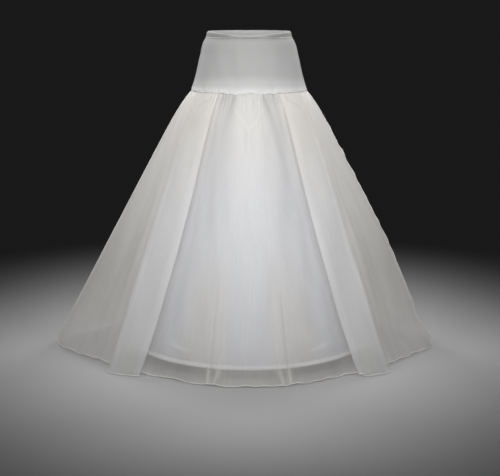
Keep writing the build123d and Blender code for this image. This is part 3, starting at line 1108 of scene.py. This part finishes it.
# The part of a turn that the tape goes round, with a slit at the top, its mean radius, how round its section
# is and how much squarer over the joiner, how much higher it is there, and where that starts and is full
CASING_ROUND = (0.52 * math.pi, 2.48 * math.pi)
TAPE_RADIUS = 0.006
CASING_POWER = 0.85
JOINER_POWER = 0.25
JOINER_RISE = 0.0016
JOINER_ENDS = (0.016, 0.004)
# The height of its stitches above its middle, as a share of its height
CASING_STITCH_LEVEL = 0.36


def make_casing():
    turn = full_turn(CASING_COLUMNS)
    corner = np.linspace(*CASING_ROUND, CASING_SIDES)
    joiner_low, joiner_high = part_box("hoop_joiner")
    joiner_half = (joiner_high[0] - joiner_low[0]) / 2
    past_joiner = HOOP_RADIUS * np.abs(turn - math.pi / 2) - joiner_half
    swell = smoothstep(*JOINER_ENDS, past_joiner)
    power = CASING_POWER - JOINER_POWER * swell
    cosine, sine = np.cos(corner)[:, None], np.sin(corner)[:, None]
    radius = HOOP_RADIUS + np.sign(cosine) * np.abs(cosine) ** power * CASING_THICKNESS / 2
    up = np.sign(sine) * np.abs(sine) ** power * (CASING_HEIGHT + JOINER_RISE * swell) / 2
    grid = round_line(turn, radius, radius, up - HOOP_DROP)
    uv = np.stack(np.meshgrid(corner * TAPE_RADIUS, turn * HOOP_RADIUS, indexing="ij"), axis=-1)[..., ::-1]
    casing = grid_piece("hoop_casing_tape", grid, around=True, uv=uv)
    place(casing, "tape", cloths["tape"], "hoop_casing")
    radius = HOOP_RADIUS + CASING_THICKNESS / 2
    path = round_line(turn, radius, radius, CASING_HEIGHT * CASING_STITCH_LEVEL - HOOP_DROP)
    stitches = place(stitch_row("casing_stitches", path), "tape", cloths["thread"])


for half, side in ((FRONT, "front"), (BACK, "back")):
    make_overlay(half, side)
    make_lining(half, side)
    make_yoke(half, side)
make_waistband()
make_elastic()
make_casing()


# Floor, light and camera

BACKDROP = (0.010, 0.010, 0.010)
AMBIENT = (0.06, 0.06, 0.061)
FLOOR_RADIUS = 1.7
FLOOR_DROP = HEM_DROP + 0.004
FLOOR_COLOUR = (0.56, 0.56, 0.56)
FLOOR_PALE_RADIUS = 0.50
FLOOR_ROUGHNESS = 0.9
FLOOR_SIDES = 128
# Lamps: place, what they look at, size, power and spread in degrees
LAMPS = {
    "front_key": ((0.0, -2.2, 0.60), (0, 0, -0.40), 1.0, 3.7, 55),
    "left_key": ((-1.75, -1.3, 0.75), (0, 0, -0.36), 1.4, 2.9, 60),
    "right_key": ((1.75, -1.3, 0.75), (0, 0, -0.36), 1.4, 2.9, 60),
    "left_rim": ((-1.1, 1.3, 0.9), (0, 0, -0.3), 1.0, 3.2, 70),
    "right_rim": ((1.1, 1.3, 0.9), (0, 0, -0.3), 1.0, 3.2, 70),
}
CAMERA_PLACE = (0.003, -3.4, 0.10)
CAMERA_TILT = 12.163
CAMERA_LENS = 80.58
CAMERA_SENSOR = 36


def make_floor():
    """A pale round floor that melts into the backdrop towards its rim."""
    rim = round_line(full_turn(FLOOR_SIDES), FLOOR_RADIUS, FLOOR_RADIUS, -FLOOR_DROP)
    floor = add_mesh("floor", rim, np.arange(FLOOR_SIDES)[None, :])
    material, tree, shader = new_material("floor", FLOOR_COLOUR, FLOOR_ROUGHNESS)
    coords = add_node(tree, "ShaderNodeTexCoord")
    flat = add_node(tree, "ShaderNodeMapping", Vector=coords.outputs["Object"], Scale=(1, 1, 0))
    away = add_node(tree, "ShaderNodeVectorMath", operation="LENGTH")
    join(flat.outputs[0], away.inputs[0])
    span = (FLOOR_PALE_RADIUS, FLOOR_RADIUS)
    share = map_range(tree, away.outputs["Value"], span, (0, 1), "SMOOTHSTEP")
    far = add_node(tree, "ShaderNodeEmission", Color=(*BACKDROP, 1))
    mix = mix_shaders(tree, share, shader, far)
    join(mix.outputs[0], tree.nodes["Material Output"].inputs["Surface"])
    floor.data.materials.append(material)


def make_world():
    """Ambient light for the cloth, with the backdrop where the camera looks past it."""
    world = bpy.data.worlds.new("studio")
    world.use_nodes = True
    tree = world.node_tree
    tree.nodes.clear()
    output = add_node(tree, "ShaderNodeOutputWorld")
    light = add_node(tree, "ShaderNodeBackground", Color=(*AMBIENT, 1))
    seen = add_node(tree, "ShaderNodeBackground", Color=(*BACKDROP, 1))
    path = add_node(tree, "ShaderNodeLightPath")
    either = combine(tree, "MAXIMUM", path.outputs["Is Camera Ray"], path.outputs["Is Glossy Ray"])
    any_of = combine(tree, "MAXIMUM", either, path.outputs["Is Transmission Ray"])
    join(mix_shaders(tree, any_of, light, seen).outputs[0], output.inputs[0])
    bpy.context.scene.world = world


def add_area_light(name, place_at, look_at, size, power, spread):
    data = bpy.data.lights.new(name, "AREA")
    data.shape = "DISK"
    data.size = size
    data.energy = power
    data.spread = math.radians(spread)
    light = bpy.data.objects.new(name, data)
    bpy.context.scene.collection.objects.link(light)
    light.location = place_at
    aim = np.asarray(look_at, float) - np.asarray(place_at, float)
    light.rotation_euler = (
        math.atan2(math.hypot(aim[0], aim[1]), -aim[2]), 0, math.atan2(aim[1], aim[0]) - math.pi / 2
    )


make_floor()
make_world()
for name, lamp in LAMPS.items():
    add_area_light(name, *lamp)

camera_data = bpy.data.cameras.new("camera")
camera_data.lens = CAMERA_LENS
camera_data.sensor_width = CAMERA_SENSOR
camera = bpy.data.objects.new("camera", camera_data)
bpy.context.scene.collection.objects.link(camera)
camera.location = CAMERA_PLACE
camera.rotation_euler = (math.radians(90 - CAMERA_TILT), 0, 0)
bpy.context.scene.camera = camera
bpy.context.scene.view_settings.view_transform = "Standard"
